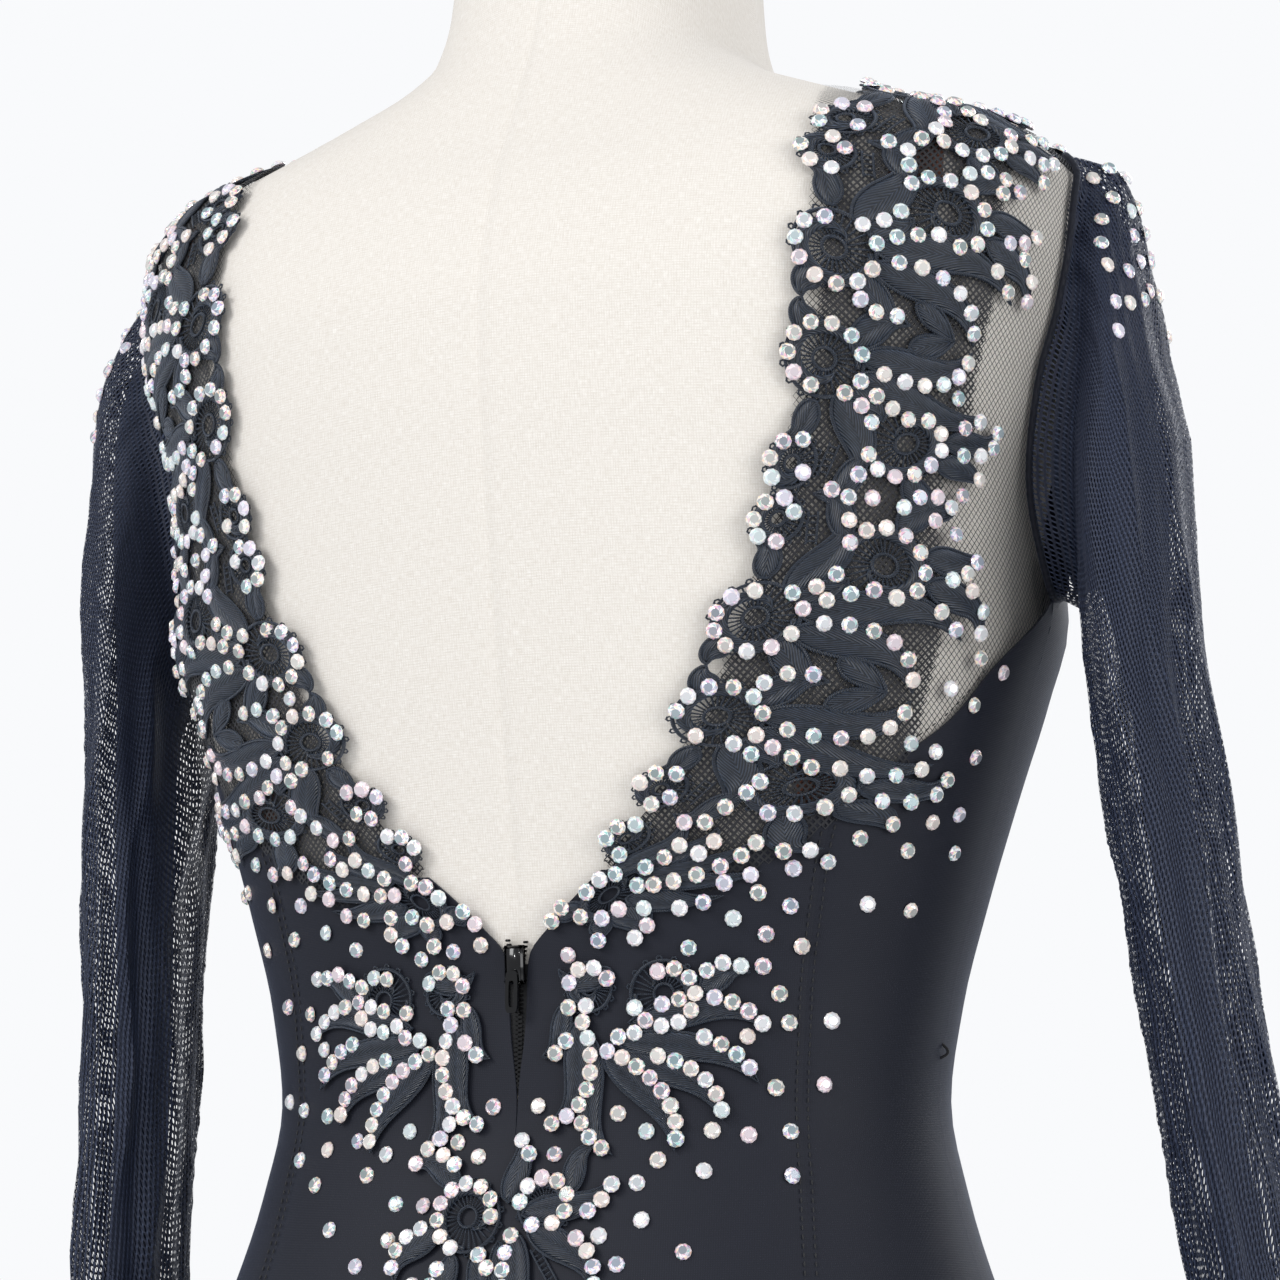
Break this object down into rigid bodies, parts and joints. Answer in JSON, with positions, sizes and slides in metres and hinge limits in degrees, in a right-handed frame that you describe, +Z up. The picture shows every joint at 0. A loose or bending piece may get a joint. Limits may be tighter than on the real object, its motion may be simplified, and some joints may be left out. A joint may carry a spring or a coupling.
{
  "type": "ballroom dance dress on a dress form",
  "caption": "Long flared dance dress, open to the waist at the back, with net yokes, raised lace, a short zip and long mesh sleeves, on a limbless padded dress form with a pole and round base.",
  "frame": {"origin": "centre of the base's underside, on the floor", "axes": "+Z up along the form's pole; the wearer's front faces -Y, the open back faces +Y, the wearer's left is +X"},
  "size_m": [0.8596, 0.8596, 1.5173],
  "materials": {
    "linen": "plain-woven cream linen",
    "wood": "satin varnish",
    "pole_metal": "satin black",
    "jersey": "matt black stretch jersey",
    "net": "fine black diamond net",
    "stretch_mesh": "navy-black stretch mesh",
    "lace": "black guipure lace with a satin thread",
    "zip_metal": "gloss black",
    "crystal": "faceted, foil-backed, with an iridescent coating"
  },
  "bodies": {
    "dress_and_form": {"form_torso": "linen", "form_neck_cap": "wood", "form_pole": "pole_metal", "form_base": "wood", "front_panel": "jersey", "back_side_left": "jersey", "back_side_right": "jersey", "back_centre_left": "jersey", "back_centre_right": "jersey", "back_yoke_left": "net", "back_yoke_right": "net", "sleeve_left": "stretch_mesh", "sleeve_right": "stretch_mesh", "skirt_front_left": "jersey", "skirt_front_right": "jersey", "skirt_back_left": "jersey", "skirt_back_right": "jersey", "zip_chain": "zip_metal", "zip_slider": "zip_metal", "lace_left_1": "lace", "lace_left_2": "lace", "lace_left_3": "lace", "lace_left_4": "lace", "lace_left_5": "lace", "lace_left_6": "lace", "lace_left_7": "lace", "lace_right_1": "lace", "lace_right_2": "lace", "lace_right_3": "lace", "lace_right_4": "lace", "lace_right_5": "lace", "lace_right_6": "lace", "lace_right_7": "lace", "lace_flank_left": "lace", "lace_flank_right": "lace", "lace_centre": "lace"},
    "pull_tab": {"zip_pull_tab": "zip_metal"}
  },
  "joints": [
    {"name": "tab_hinge", "type": "hinge", "parent": "dress_and_form", "child": "pull_tab", "pos_m": [0, 0.08686, 1.0836], "axis": [1, 0, 0], "range_deg": [0, 165]}
  ]
}
